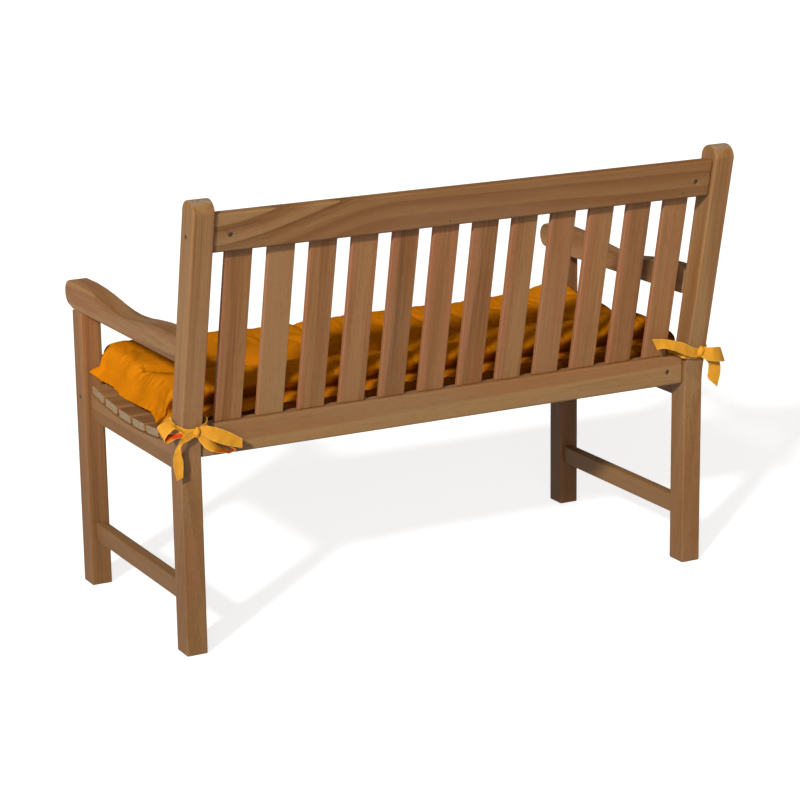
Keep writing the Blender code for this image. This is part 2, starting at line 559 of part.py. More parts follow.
RIGHT_RUNS = {
    "strap_outer": [
        Section(0.0062, -0.0869, 0.4467, 0.0120, 0, 0.0010),
        Section(0.0067, -0.0733, 0.4540, 0.0097, 0, 0.0070),
        Section(0.0057, -0.0593, 0.4620, 0.0040, 0, 0.0120),
        Section(0.0038, -0.0453, 0.4670, 0, 0.0010, 0.0125),
        Section(0.0034, -0.0293, 0.4690, 0, 0.0010, 0.0115),
        Section(0.0032, -0.0103, 0.4690, 0, 0.0012, 0.0105),
        Section(0.0024, 0.0022, 0.4690, 0, 0.0015, 0.0100),
        Section(-0.0048, 0.0065, 0.4690, 0, 0.0018, 0.0095),
        Section(-0.0168, 0.0085, 0.4690, 0, 0.0018, 0.0090)],
    "strap_inner": [
        Section(0.0063, -0.0547, 0.4603, 0, 0, 0.0115),
        Section(-0.0177, -0.0542, 0.4623, 0, 0, 0.0115),
        Section(-0.0367, -0.0547, 0.4653, 0.0020, 0, 0.0112),
        Section(-0.0547, -0.0497, 0.4668, 0.0085, 0.0020, 0.0080),
        Section(-0.0582, -0.0377, 0.4658, 0.0112, 0, 0.0030),
        Section(-0.0582, -0.0197, 0.4655, 0.0112, 0, 0.0025),
        Section(-0.0582, -0.0077, 0.4653, 0.0108, 0, 0.0035),
        Section(-0.0559, 0.0013, 0.4658, 0.0085, 0.0010, 0.0065),
        Section(-0.0502, 0.0059, 0.4658, 0.0042, 0.0018, 0.0090),
        Section(-0.0407, 0.0061, 0.4643, 0.0010, 0.0022, 0.0098),
        Section(-0.0277, 0.0075, 0.4633, 0, 0.0022, 0.0102),
        Section(-0.0177, 0.0089, 0.4663, 0, 0.0018, 0.0095)],
    "loop_outer": [
        Section(-0.0178, 0.0124, 0.4670, 0.0007, 0, 0.0095),
        Section(-0.0071, 0.0152, 0.4637, 0.0011, -0.0010, 0.0133),
        Section(0.0102, 0.0187, 0.4610, -0.0005, -0.0015, 0.0153),
        Section(0.0303, 0.0147, 0.4577, -0.0039, -0.0015, 0.0163),
        Section(0.0377, 0.0087, 0.4557, -0.0057, -0.0005, 0.0152),
        Section(0.0301, 0.0052, 0.4564, -0.0037, 0, 0.0142),
        Section(0.0073, 0.0045, 0.4598, -0.0001, -0.0002, 0.0126),
        Section(-0.0178, 0.0062, 0.4659, 0.0007, 0, 0.0095)],
    "tail_outer": [
        Section(-0.0109, 0.0078, 0.4645, 0.0053, -0.0005, 0.0068),
        Section(0.0063, 0.0058, 0.4532, 0.0120, -0.0015, 0.0036),
        Section(0.0217, 0.0025, 0.4384, 0.0145, -0.0008, 0.0004),
        Section(0.0229, 0.0025, 0.4232, 0.0152, 0.0008, -0.0007),
        Section(0.0207, 0.0033, 0.4087, 0.0149, 0.0010, -0.0022),
        Section(0.0188, 0.0043, 0.3938, 0.0099, 0.0010, -0.0086)],
    "tail_inner": [
        Section(-0.0174, 0.0097, 0.4668, 0.0003, 0.0005, 0.0087),
        Section(-0.0407, 0.0142, 0.4707, -0.0004, 0.0010, 0.0111),
        Section(-0.0651, 0.0167, 0.4821, -0.0006, -0.0005, 0.0127),
        Section(-0.0853, 0.0167, 0.4898, 0.0008, -0.0015, 0.0105),
        Section(-0.1037, 0.0157, 0.4959, 0.0031, -0.0025, 0.0091),
        Section(-0.1198, 0.0142, 0.4985, 0.0007, -0.0020, 0.0100),
        Section(-0.1354, 0.0132, 0.4990, -0.0058, -0.0010, 0.0119)],
}


# ---- the whole part --------------------------------------------------------------------------
for old in list(bpy.data.objects):
    bpy.data.objects.remove(old, do_unlink=True)

teak = principled("teak", (0.45, 0.27, 0.14), 0.62)
teak_slat = principled("teak slat", (0.40, 0.23, 0.12), 0.62)
cover_cloth = principled("cover cloth", (0.68, 0.27, 0.01), 0.85)
ribbon_cloth = principled("ribbon cloth", (0.80, 0.46, 0.06), 0.80)

build_ends(teak)
build_back(teak, teak_slat)
build_seat(teak, teak_slat)
build_cushion(cover_cloth)
build_tie("tie_left", 1, LEFT_RUNS, LEFT_KNOT, (0.0075, 0.0060, 0.0100), ribbon_cloth)
build_tie("tie_right", -1, RIGHT_RUNS, RIGHT_KNOT, (0.0100, 0.0065, 0.0115), ribbon_cloth)

for piece in bpy.data.objects:
    piece.location.y = -ORIGIN_BACK
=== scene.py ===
# Garden bench with a seat cushion that is tied to its rear posts by two ribbons.
from collections import namedtuple
from math import cos, exp, hypot, pi, sin, sqrt

import bpy
from mathutils import Matrix, Vector, noise


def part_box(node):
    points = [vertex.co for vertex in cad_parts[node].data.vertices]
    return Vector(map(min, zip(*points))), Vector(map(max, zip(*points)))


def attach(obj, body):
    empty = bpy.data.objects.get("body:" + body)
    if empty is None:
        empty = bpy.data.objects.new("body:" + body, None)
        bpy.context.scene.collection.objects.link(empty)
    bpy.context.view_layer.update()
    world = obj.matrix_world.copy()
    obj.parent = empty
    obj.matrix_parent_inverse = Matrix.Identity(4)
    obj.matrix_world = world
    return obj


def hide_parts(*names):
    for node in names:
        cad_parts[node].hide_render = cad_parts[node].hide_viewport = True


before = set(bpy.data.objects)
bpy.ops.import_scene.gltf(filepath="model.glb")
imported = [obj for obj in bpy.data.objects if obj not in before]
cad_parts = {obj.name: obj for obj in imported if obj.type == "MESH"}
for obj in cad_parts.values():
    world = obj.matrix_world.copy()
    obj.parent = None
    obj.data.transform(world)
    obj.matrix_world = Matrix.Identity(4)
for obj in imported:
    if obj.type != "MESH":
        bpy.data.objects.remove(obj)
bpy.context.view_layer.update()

camera_place = Vector((2.48795, 4.73630, 1.79985))
camera_forward = Vector((-0.45026, -0.85539, -0.25611)).normalized()
camera_roll = -0.0141832
camera_level = camera_forward.cross(Vector((0, 0, 1))).normalized()
camera_plumb = camera_level.cross(camera_forward)
camera_right = cos(camera_roll) * camera_level + sin(camera_roll) * camera_plumb
camera_up = cos(camera_roll) * camera_plumb - sin(camera_roll) * camera_level
turned = Matrix((camera_right, camera_up, -camera_forward)).transposed().to_4x4()

bpy.ops.object.select_all(action="DESELECT")
bpy.ops.object.camera_add(location=camera_place)
camera = bpy.context.object
camera.name = "camera"
camera.matrix_world = Matrix.Translation(camera_place) @ turned
camera.data.sensor_width = 36.0
camera.data.lens = 118.80
bpy.context.scene.camera = camera

# ---- floor and light -------------------------------------------------------------------------
# A plain white floor, whose own glow doesn't light the bench. The main lamp stands far off to the left
# of the camera, a little above the bench, and shines through the back rest. A broad lamp beside it, a
# soft one in front that leaves no glare, and a faint warm surround fill in.
floor_size, floor_gap = 600, 0.0005


def feed(finish, node_name, feeds):
    """Feeds a node's sockets, each with a number, a vector, a colour or what another node gives."""
    for key, value in feeds.items():
        socket = finish.node_tree.nodes[node_name].inputs[key]
        if isinstance(value, bpy.types.NodeSocket):
            finish.node_tree.links.new(value, socket)
        elif socket.type == "RGBA":
            socket.default_value = (*value, 1)
        else:
            socket.default_value = value


def new_finish(name, feeds):
    finish = bpy.data.materials.new(name)
    finish.use_nodes = True
    feed(finish, "Principled BSDF", feeds)
    return finish


bpy.ops.object.select_all(action="DESELECT")
bpy.ops.mesh.primitive_plane_add(size=floor_size, location=(0, 0, -floor_gap))
floor = bpy.context.object
floor.name = "studio_floor"
floor.visible_diffuse = False
floor.data.materials.append(new_finish("pale studio floor", {
    "Base Color": (0.45, 0.46, 0.48), "Roughness": 0.9,
    "Emission Color": (1, 1, 1), "Emission Strength": 0.76}))


def studio_light(name, toward, strength, spread, colour):
    """A lamp far off that way. spread is how wide it looks from the bench, in radians."""
    bpy.ops.object.select_all(action="DESELECT")
    bpy.ops.object.light_add(type="SUN", location=Vector(toward) * 3)
    lamp = bpy.context.object
    lamp.name = name
    lamp.data.energy = strength
    lamp.data.angle = spread
    lamp.data.color = colour
    lamp.rotation_euler = Vector(toward).to_track_quat("Z", "Y").to_euler()
    return lamp


studio_light("side_light", (1.15, 1.00, 0.84), 3.8, 0.08, (1.0, 0.96, 0.90))
studio_light("broad_light", (0.85, 1.50, 0.42), 1.35, 0.60, (1.0, 0.97, 0.93))
front_fill = studio_light("front_fill", (-0.30, -1.40, 0.22), 1.7, 0.80, (1.0, 0.97, 0.93))
front_fill.visible_glossy = False

surround = bpy.data.worlds.new("pale surround")
surround.use_nodes = True
surround.node_tree.nodes["Background"].inputs["Color"].default_value = (1.0, 0.83, 0.64, 1)
surround.node_tree.nodes["Background"].inputs["Strength"].default_value = 0.115
bpy.context.scene.world = surround
bpy.context.scene.view_settings.view_transform = "Standard"

# ---- rear posts and arms ---------------------------------------------------------------------
# Sawn and planed teak. The posts rake back above the seat and are rounded on top; the arms are
# band-sawn to a swan curve and pegged on the front legs. They are turned over with a smooth edge.
same_place, eased_edge = 0.00001, 0.65


def planed_copy(node):
    """The timber's own solid, with its corners joined up and its eased edges shaded round."""
    bpy.ops.object.select_all(action="DESELECT")
    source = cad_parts[node]
    piece = source.copy()
    piece.data = source.data.copy()
    piece.name = node + "_planed"
    piece.data.materials.clear()
    for key in list(piece.keys()):
        if key.startswith("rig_"):
            del piece[key]
    bpy.context.scene.collection.objects.link(piece)
    piece.parent = None
    piece.select_set(True)
    bpy.context.view_layer.objects.active = piece
    bpy.ops.object.mode_set(mode="EDIT")
    bpy.ops.mesh.select_all(action="SELECT")
    bpy.ops.mesh.remove_doubles(threshold=same_place)
    bpy.ops.mesh.tris_convert_to_quads()
    bpy.ops.object.mode_set(mode="OBJECT")
    bpy.ops.object.shade_smooth_by_angle(angle=eased_edge)
    even = piece.modifiers.new("flat faces", "WEIGHTED_NORMAL")
    even.keep_sharp = True
    even.weight = 80
    bpy.ops.object.modifier_apply(modifier="flat faces")
    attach(piece, "root")
    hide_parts(node)
    return piece


teak_light, teak_mid, teak_dark = (0.300, 0.172, 0.066), (0.215, 0.101, 0.028), (0.120, 0.049, 0.010)
teak_rosy, teak_grey, teak_low_dark = (0.320, 0.128, 0.052), (0.260, 0.175, 0.090), (0.120, 0.056, 0.018)
teak_fibre, teak_pore, teak_weathered_and_lit = (0.140, 0.060, 0.022), (0.060, 0.030, 0.015), (0.420, 0.190, 0.070)
end_pale, end_dark, ruddy_tint = (0.330, 0.240, 0.150), (0.150, 0.090, 0.048), (1.04, 0.84, 0.78)
grain_turn = {"x": (0, 0, 0), "y": (0, 0, -pi / 2), "z": (0, pi / 2, 0)}
grain_way = {"x": (1, 0, 0), "y": (0, 1, 0), "z": (0, 0, 1)}
back_rake = 0.213


def wired(finish, kind, output, feeds, **choices):
    """Adds a node, makes its choices, feeds its sockets and gives what comes out of it."""
    made = finish.node_tree.nodes.new(kind)
    for key, value in choices.items():
        setattr(made, key, value)
    feed(finish, made.name, feeds)
    return made.outputs[output]


def worked(finish, operation, first, second=0.0):
    return wired(finish, "ShaderNodeMath", "Value", {0: first, 1: second}, operation=operation)


def graded(finish, source, low, high, start=0.0, end=1.0, kind="SMOOTHSTEP"):
    """From start to end, as the source goes from low to high."""
    return wired(finish, "ShaderNodeMapRange", "Result", {
        "Value": source, "From Min": low, "From Max": high, "To Min": start, "To Max": end},
                 interpolation_type=kind)


def tinted(finish, share, under, over, blend="MIX"):
    """Lays one colour over another, as far as share says."""
    return wired(finish, "ShaderNodeMix", 2, {"Factor": share, 6: under, 7: over},
                 data_type="RGBA", blend_type=blend)


def stretched(finish, vector, factors):
    return wired(finish, "ShaderNodeVectorMath", "Vector", {0: vector, 1: factors}, operation="MULTIPLY")


def reach_along(finish, vector, way):
    return wired(finish, "ShaderNodeVectorMath", "Value", {0: vector, 1: way}, operation="DOT_PRODUCT")


def part_of(finish, vector, axis):
    return wired(finish, "ShaderNodeSeparateXYZ", axis, {0: vector})


def cloud(finish, vector, scale, detail, roughness=0.5, distortion=0.0):
    """Soft patches, 0 to 1. detail is how many finer layers they have."""
    return wired(finish, "ShaderNodeTexNoise", "Fac", {
        "Vector": vector, "Scale": scale, "Detail": detail, "Roughness": roughness, "Distortion": distortion})


def teak_finish(name, along, seed, figure=1.0, tone=0.5, pink=0.4, lean=(0.0, 0.0), rake=0.0, heart_and_highlight=None,
                swerve=None, ruddy=0.25):
    """Dry teak: growth rings cut at a slant, long fibres, dark pores and pale end grain.

    heart is a redder band across the board: a way across it, two places along it, a colour. On the rails it
    is heartwood; on the slats it is a painted highlight along the edge that faces the lamp.
    swerve is where the grain swings off towards a knot: two places along X, and how far."""
    wood = new_finish(name, {"Specular IOR Level": 0.25})
    place = wired(wood, "ShaderNodeTexCoord", "Object", {})
    facing = wired(wood, "ShaderNodeNewGeometry", "Normal", {})
    grain_place = place
    if swerve:
        swung = graded(wood, part_of(wood, place, "X"), swerve[0], swerve[1])
        off = wired(wood, "ShaderNodeCombineXYZ", "Vector", {"Z": worked(wood, "MULTIPLY", swung, swerve[2])})
        grain_place = wired(wood, "ShaderNodeVectorMath", "Vector", {0: place, 1: off}, operation="ADD")
    turn = grain_turn[along]
    grain = wired(wood, "ShaderNodeMapping", "Vector", {
        "Vector": grain_place, "Rotation": (turn[0] + rake, turn[1] + lean[0], turn[2] + lean[1]),
        "Location": (seed * 3.17, 0.09 + seed * 0.013, 0.05 - seed * 0.017)}, vector_type="POINT")

    def figured(along_grain, across, detail, roughness=0.55):
        """Patches so many to the metre along and across the grain."""
        return cloud(wood, stretched(wood, grain, (along_grain, across, across)), 1.0, detail, roughness)

    rings = wired(wood, "ShaderNodeTexWave", "Fac", {
        "Vector": stretched(wood, grain, (0.10, 1.0, 1.0)), "Scale": 9.0, "Distortion": 9.0, "Detail": 3.0,
        "Detail Scale": 0.45, "Detail Roughness": 0.6},
                  wave_type="RINGS", rings_direction="X", wave_profile="SAW")
    ring_line = graded(wood, rings, 0.15, 0.95)
    broad = figured(1.1, 13.0, 3.0)
    streak = figured(2.6, 120.0, 5.0, 0.60)
    hair = figured(6.0, 420.0, 3.0)
    fibre = figured(14.0, 900.0, 3.0, 0.6)
    pore = graded(wood, figured(45.0, 1500.0, 2.0), 0.60, 0.70)

    mixed = 0.0
    for layer, share in ((ring_line, 0.16 * figure), (streak, 0.24), (broad, 0.44), (hair, 0.36)):
        mixed = worked(wood, "ADD", mixed, worked(wood, "MULTIPLY", layer, share))
    mixed = graded(wood, mixed, 0.62 - 0.50 * tone, 1.12 - 0.50 * tone)
    colour = tinted(wood, graded(wood, mixed, 0.0, 0.55), teak_light, teak_mid)
    colour = tinted(wood, graded(wood, mixed, 0.50, 1.0), colour, teak_dark)
    rosy = graded(wood, figured(0.9, 26.0, 2.0), 0.46, 0.66, 0.0, pink)
    colour = tinted(wood, rosy, colour, teak_rosy)
    if heart_and_highlight:
        uneven = worked(wood, "MULTIPLY", worked(wood, "SUBTRACT", figured(1.6, 30.0, 3.0), 0.5), 0.030)
        across_board = worked(wood, "ADD", reach_along(wood, place, heart_and_highlight[0]), uneven)
        colour = tinted(wood, graded(wood, across_board, heart_and_highlight[1], heart_and_highlight[2], 0.0, 0.62), colour, heart_and_highlight[3])
    colour = tinted(wood, graded(wood, figured(2.2, 9.0, 3.0), 0.45, 0.75, 0.0, 0.35), colour, teak_grey)
    colour = tinted(wood, ruddy, colour, ruddy_tint, "MULTIPLY")
    # The wood is darker towards the bottom.
    low_dark = worked(wood, "MULTIPLY", graded(wood, part_of(wood, place, "Z"), 0.62, 0.10), 0.52)
    colour = tinted(wood, low_dark, colour, teak_low_dark)
    colour = tinted(wood, worked(wood, "MULTIPLY", fibre, 0.25), colour, teak_fibre)
    colour = tinted(wood, worked(wood, "MULTIPLY", pore, 0.45), colour, teak_pore)
    # Upward faces are paler: weathering, and a painted highlight for the light from above.
    weathered_and_lit = graded(wood, part_of(wood, facing, "Z"), 0.70, 0.97, 0.0, 0.10)
    colour = tinted(wood, weathered_and_lit, colour, teak_weathered_and_lit)
    on_end = graded(wood, worked(wood, "ABSOLUTE", reach_along(wood, facing, grain_way[along])), 0.62, 0.90)
    end_colour = tinted(wood, graded(wood, figured(420.0, 420.0, 3.0), 0.42, 0.66), end_pale, end_dark)

    height = worked(wood, "SUBTRACT", worked(wood, "ADD", streak, worked(wood, "MULTIPLY", fibre, 0.6)), pore)
    feed(wood, "Principled BSDF", {
        "Base Color": tinted(wood, on_end, colour, end_colour),
        "Roughness": graded(wood, streak, 0.0, 1.0, 0.50, 0.72, "LINEAR"),
        "Normal": wired(wood, "ShaderNodeBump", "Normal", {"Height": height, "Strength": 0.35,
                                                           "Distance": 0.0008})})
    return wood


for side, seed in (("left", 1.3), ("right", 2.1)):
    post = planed_copy(f"rear_post_{side}")
    post.data.materials.append(teak_finish(f"post teak {side}", "z", seed, 0.5, 0.50, 0.45, rake=back_rake))
    arm = planed_copy(f"arm_{side}")
    arm.data.materials.append(teak_finish(f"arm teak {side}", "y", seed + 4, 1.2, 0.40, 0.3, (0.06, 0.04)))

# ---- front legs, side rails and stretchers ----------------------------------------------------
# Square teak timbers, planed and mortised together. A side rail carries the seat's slats at each
# end, and a stretcher ties the feet.
# The right front leg's wood is made much darker than the left's: painted shade for the shade it stands in
# under the seat.
for side, seed, leg_tone_and_shade in (("left", 7.7, 0.66), ("right", 8.6, 0.92)):
    for node, along, tone, pink in (
            ("front_leg", "z", leg_tone_and_shade, 0.4), ("side_rail", "y", 0.55, 0.3), ("stretcher", "y", 0.38, 0.2)):
        timber = planed_copy(f"{node}_{side}")
        seed = seed + 1.7
        timber.data.materials.append(teak_finish(f"{node} teak {side}", along, seed, 0.8, tone, pink))

# ---- back rest ---------------------------------------------------------------------------------
# A wide top rail with a bold slanting figure and a low rail with straight grain. The slats
# between them are thinner and were cut from several boards, so each has its own tone.
top_heart = ((-0.24, 0.0, -1.0), -0.955, -0.915, (0.200, 0.088, 0.026))
top_rail = planed_copy("back_rail_top")
top_rail.data.materials.append(teak_finish("top rail teak", "x", 3.3, 1.7, 0.36, 0.15, (0.0, 0.015),
                                           heart_and_highlight=top_heart, swerve=(0.16, 0.56, 0.085)))
low_heart = ((0.022, 0.0, 1.0), 0.426, 0.433, (0.235, 0.090, 0.028))
low_rail = planed_copy("back_rail_low")
low_rail.data.materials.append(teak_finish("low rail teak", "x", 5.1, 0.7, 0.20, 0.10, (0.0, 0.012),
                                           heart_and_highlight=low_heart, ruddy=0.0))

slat_tones = (0.55, 0.22, 0.56, 0.50, 0.66, 0.55, 0.60, 0.52, 0.55, 0.58, 0.60, 0.50)
slat_pinks = (0.5, 0.3, 0.5, 0.4, 0.2, 0.6, 0.4, 0.2, 0.3, 0.3, 0.4, 0.3)
for number, (tone, pink) in enumerate(zip(slat_tones, slat_pinks), 1):
    slat = planed_copy(f"back_slat_{number:02d}")
    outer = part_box(f"back_slat_{number:02d}")[1].x
    # Painted highlight: each slat is given a paler, pinker colour along its edge that faces the lamp.
    slat_lit_edge = ((1, 0, 0), outer - 0.013, outer - 0.004, (0.330, 0.150, 0.072))
    pale_board = number == 2
    slat.data.materials.append(teak_finish(
        f"back slat teak {number}", "z", 11 + (number - 1) * 1.37, 0.6, tone, pink, rake=back_rake,
        heart_and_highlight=slat_lit_edge, ruddy=0.1 if pale_board else 0.7))

# ---- seat ----------------------------------------------------------------------------------------
# Seven slats lie across the dished side rails, with a wider nosing slat and a rail in front. The
# slats' sawn ends have gone pale.
seat_nodes = [f"seat_slat_{number}" for number in range(1, 8)] + ["seat_slat_front", "front_rail"]
for index, node in enumerate(seat_nodes):
    board = planed_copy(node)
    board.data.materials.append(teak_finish(f"{node} teak", "x", 31 + index * 1.9, 0.8, 0.5, 0.4))

# ---- screws --------------------------------------------------------------------------------------
# Dark steel screws at the bottom of counterbored holes: through the posts into the top rail, through
# the front legs into the front rail, and on the backs of both rails. Two thin pins hold the slats.
screw_steel = new_finish("dark screw steel", {
    "Base Color": (0.050, 0.040, 0.030), "Metallic": 0.7, "Roughness": 0.42})


def screw_head(name, place, outward, radius=0.0050, sunk=0.0012, socket=0.0026):
    """A round head lying sunk in its hole, with its socket pressed in."""
    thick, rim, rim_rise, socket_wall, socket_deep = 0.0016, 0.15, 0.0005, 0.0002, 0.0011
    bpy.ops.object.select_all(action="DESELECT")
    bpy.ops.mesh.primitive_cylinder_add(vertices=24, radius=radius, depth=thick)
    head = bpy.context.object
    head.name = name
    bpy.ops.object.mode_set(mode="EDIT")
    bpy.ops.mesh.select_mode(type="FACE")
    bpy.ops.mesh.select_all(action="DESELECT")
    bpy.ops.object.mode_set(mode="OBJECT")
    for face in head.data.polygons:
        face.select = face.normal.z > 0.9
    bpy.ops.object.mode_set(mode="EDIT")
    bpy.ops.mesh.inset(thickness=radius * rim, depth=rim_rise)
    bpy.ops.mesh.inset(thickness=radius * (1 - rim) - socket, depth=0.0001)
    bpy.ops.mesh.inset(thickness=socket_wall, depth=-socket_deep)
    bpy.ops.object.mode_set(mode="OBJECT")
    way = Vector(outward).normalized()
    turn = Vector((0, 0, 1)).rotation_difference(way).to_matrix()
    for vertex in head.data.vertices:
        vertex.co = Vector(place) + turn @ vertex.co - way * (sunk + thick / 2)
    bpy.ops.object.shade_smooth_by_angle(angle=0.6)
    return head


bench_half, rail_screw_back, rail_screw_z = 0.600, 0.3295, 0.846
square_to_back = (0, 0.97749, -0.21098)
heads = []
for sign, side in ((1, "left"), (-1, "right")):
    heads.append(screw_head(f"post_screw_{side}", (sign * bench_half, 0.3070, rail_screw_z), (sign, 0, 0)))
    heads.append(screw_head(f"leg_screw_{side}", (sign * bench_half, -0.2800, 0.408), (sign, 0, 0)))
    heads.append(screw_head(f"top_rail_screw_{side}", (sign * 0.5185, rail_screw_back, rail_screw_z),
                            square_to_back))
heads.append(screw_head("low_rail_screw", (-0.5160, 0.2382, 0.4270), (0, 1, 0)))
for name, place in (
        ("slat_pin_left", (0.0505, 0.3246, 0.8225)), ("slat_pin_right", (-0.4906, 0.3250, 0.8247))):
    heads.append(screw_head(name, place, square_to_back, 0.0013, -0.0002, 0.0006))
bpy.ops.object.select_all(action="DESELECT")
for head in heads:
    head.select_set(True)
screws = heads[0]
screws.name = "screws"
bpy.context.view_layer.objects.active = screws
bpy.ops.object.join()
screws.data.materials.append(screw_steel)
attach(screws, "root")

# ---- cushion -----------------------------------------------------------------------------------
# A plain-woven cotton cover in two panels, stuffed, and sewn together a finger's width inside its
# edge, so that a flat flange is left all round. The flange hangs and ripples, the seam puckers the
# filled part, and the rear corners are drawn out by the ribbons sewn to them.
post_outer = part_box("rear_post_left")[1].x
feet_half_depth = 0.274
feet_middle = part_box("front_leg_left")[0].y + feet_half_depth

# Depths are from the middle of the feet, and heights are from the floor.
seat_low, seat_low_y, seat_dish, seat_clear = 0.4165, -0.010, 0.40, 0.0008
cushion_half, right_extra, between_legs = 0.5780, 0.0140, 0.5525
cushion_front, cushion_rear = -0.2880, 0.1740
legs_front, legs_rear = -0.2250, -0.2185
flange_width, flange_drop, flange_ripple = 0.0165, 0.0140, 0.0017
seam_rise, seam_pucker, cushion_thick, cloth_half = 0.0400, 0.0019, 0.0770, 0.0008
ribbon_out, ribbon_back, corner_dip = 0.0280, 0.0200, 0.0100
ear_out, ear_up, ear_y = 0.0140, 0.0100, -0.2170
front_roll_y, notch_x, notch_y = -0.225, 0.108, -0.215
end_shoulder, front_shoulder, rear_shoulder, under_shoulder = 0.034, 0.072, 0.046, 0.045
belly_out, belly_low, belly_fade = 0.0230, 0.006, 0.014

# A row is a place along the cushion and how much fuller the front roll is there.
crest_rows = ((-0.600, 0.0000), (-0.470, 0.0015), (-0.370, -0.0025), (-0.270, -0.0055), (-0.170, 0.0015),
              (0.030, 0.0015), (0.125, -0.0012), (0.220, -0.0010), (0.320, 0.0035), (0.487, 0.0060),
              (0.600, 0.0020))


def eased(value, low, high):
    t = min(max((value - low) / (high - low), 0.0), 1.0)
    return t * t * (3 - 2 * t)


def bump_at(value, middle, reach):
    return exp(-((value - middle) / reach) ** 2)


def rough(x, y=0.0, z=0.0):
    return noise.noise(Vector((x, y, z)))


def seat_height(y):
    return seat_low + seat_dish * (y - seat_low_y) ** 2


def half_length(y, side):
    """From the middle to the flange's edge: drawn in at mid depth, narrow between the front legs."""
    leg_pass = eased(y, legs_front, legs_rear)
    off_middle = (y - (cushion_front + cushion_rear) / 2) / 0.20
    full = cushion_half - 0.0050 * max(0.0, 1 - off_middle ** 2) + 0.0020 * sin(y * 62 + 0.8)
    full = full + (right_extra if side < 0 else 0.0)
    return between_legs + (full - between_legs) * leg_pass


def front_edge(x):
    return cushion_front + (0.0050 + 0.0015 * sin(x * 37)) * (1 - (x / cushion_half) ** 2)


def rear_edge(x):
    return cushion_rear - 0.0050 * (1 - (x / cushion_half) ** 2) + 0.0020 * sin(x * 31 + 1.0)


def corner_pull(x, y):
    """Out along the ribbons at the rear corners, and up the front legs in a small ear."""
    sign = 1 if x > 0 else -1
    rear = bump_at(abs(x), cushion_half, 0.050) * bump_at(y, cushion_rear, 0.050)
    ear = bump_at(abs(x), cushion_half, 0.020) * bump_at(y, ear_y, 0.010)
    out = sign * (ribbon_out * rear + ear_out * ear)
    return Vector((out, ribbon_back * rear, ear_up * ear - corner_dip * rear))


def crest(x):
    for (x0, fill0), (x1, fill1) in zip(crest_rows, crest_rows[1:]):
        if x0 <= x <= x1:
            return fill0 + (fill1 - fill0) * eased(x, x0, x1)
    return 0.0


def crown_notch(x, y):
    """The nick in the front roll, where the filling has parted, and the short crease down from it."""
    nick = exp(-abs(x - notch_x) / 0.009) * bump_at(y, notch_y, 0.045)
    lobes = bump_at(abs(x - notch_x), 0.030, 0.020) * bump_at(y, notch_y, 0.045)
    return 0.0110 * nick - 0.0018 * lobes


def gather(along):
    """Pleat height, -1 to 1, that the seam draws up along its length."""
    step = along * 240 + 6.5 * rough(along * 12, 3.1)
    return sin(step) * (0.65 + 0.6 * rough(along * 23, 7.7))


def right_end(x):
    """1 at the right-hand end, where the filling has gathered, and 0 along the rest."""
    return eased(-x, 0.40, 0.57)


def crease_line(x):
    """Depth of the fold that parts the front roll of filling from the rear one."""
    return -0.050 + 0.020 * sin(x * 7.5 + 0.6) + 0.055 * right_end(x) + 0.010 * rough(x * 13, 1.7)


def filling(x, y):
    """Filled height above the seat."""
    from_crease = y - crease_line(x)
    width = 0.021 if from_crease < 0 else 0.048
    crease = (0.0140 + 0.0045 * rough(x * 6, 9.0)) * exp(-(from_crease / width) ** 2)
    front_roll = (0.0020 + crest(x)) * bump_at(y, front_roll_y, 0.070)
    end_roll = (0.0045 + 0.0150 * right_end(x)) * bump_at(abs(x), 0.530, 0.055)
    lumps = 0.0022 * rough(x * 9, y * 11, 2.0) + 0.0010 * rough(x * 24, y * 30, 5.0)
    return cushion_thick - crease + front_roll + end_roll + lumps - crown_notch(x, y)


def rounding(inside_x, inside_y, reach_x, reach_y):
    """0 at the seam to 1 a reach inside it, rising like a quarter circle."""
    if inside_x <= 0 or inside_y <= 0:
        return 0.0
    t = min(((inside_x / reach_x) ** -4 + (inside_y / reach_y) ** -4) ** -0.25, 1.0)
    return sqrt(1 - (1 - t) ** 2)


def wrinkles(x, y, from_end, from_side):
    """Creases in the cover: short ones off the seam, level ones behind the fold, pulls at the corners."""
    inside = max(min(from_end, from_side) - flange_width, 0.0)
    along = y if from_end < from_side else x
    loose = 0.35 if from_end < from_side else 1.0
    off_seam = seam_pucker * loose * gather(along) * exp(-inside / 0.020) * eased(inside, 0.0, 0.006)
    behind = bump_at(y, crease_line(x) + 0.042, 0.036) * eased(rough(x * 5, 4.4), -0.30, 0.25)
    level = 0.0019 * behind * sin(y * 330 - x * 22 + 4.0 * rough(x * 7, y * 12))
    pull = 0.0
    for sign in (1, -1):
        dx, dy = sign * cushion_half + sign * 0.02 - x, cushion_rear + 0.01 - y
        reach = hypot(dx, dy)
        turn = 9.0 * (dy / (abs(dx) + 0.02)) ** 0.5 if dy > 0 else 0.0
        pull = pull + 0.0030 * sin(turn * 2.2 + sign) * exp(-((reach - 0.075) / 0.045) ** 2)
    return off_seam + level + pull


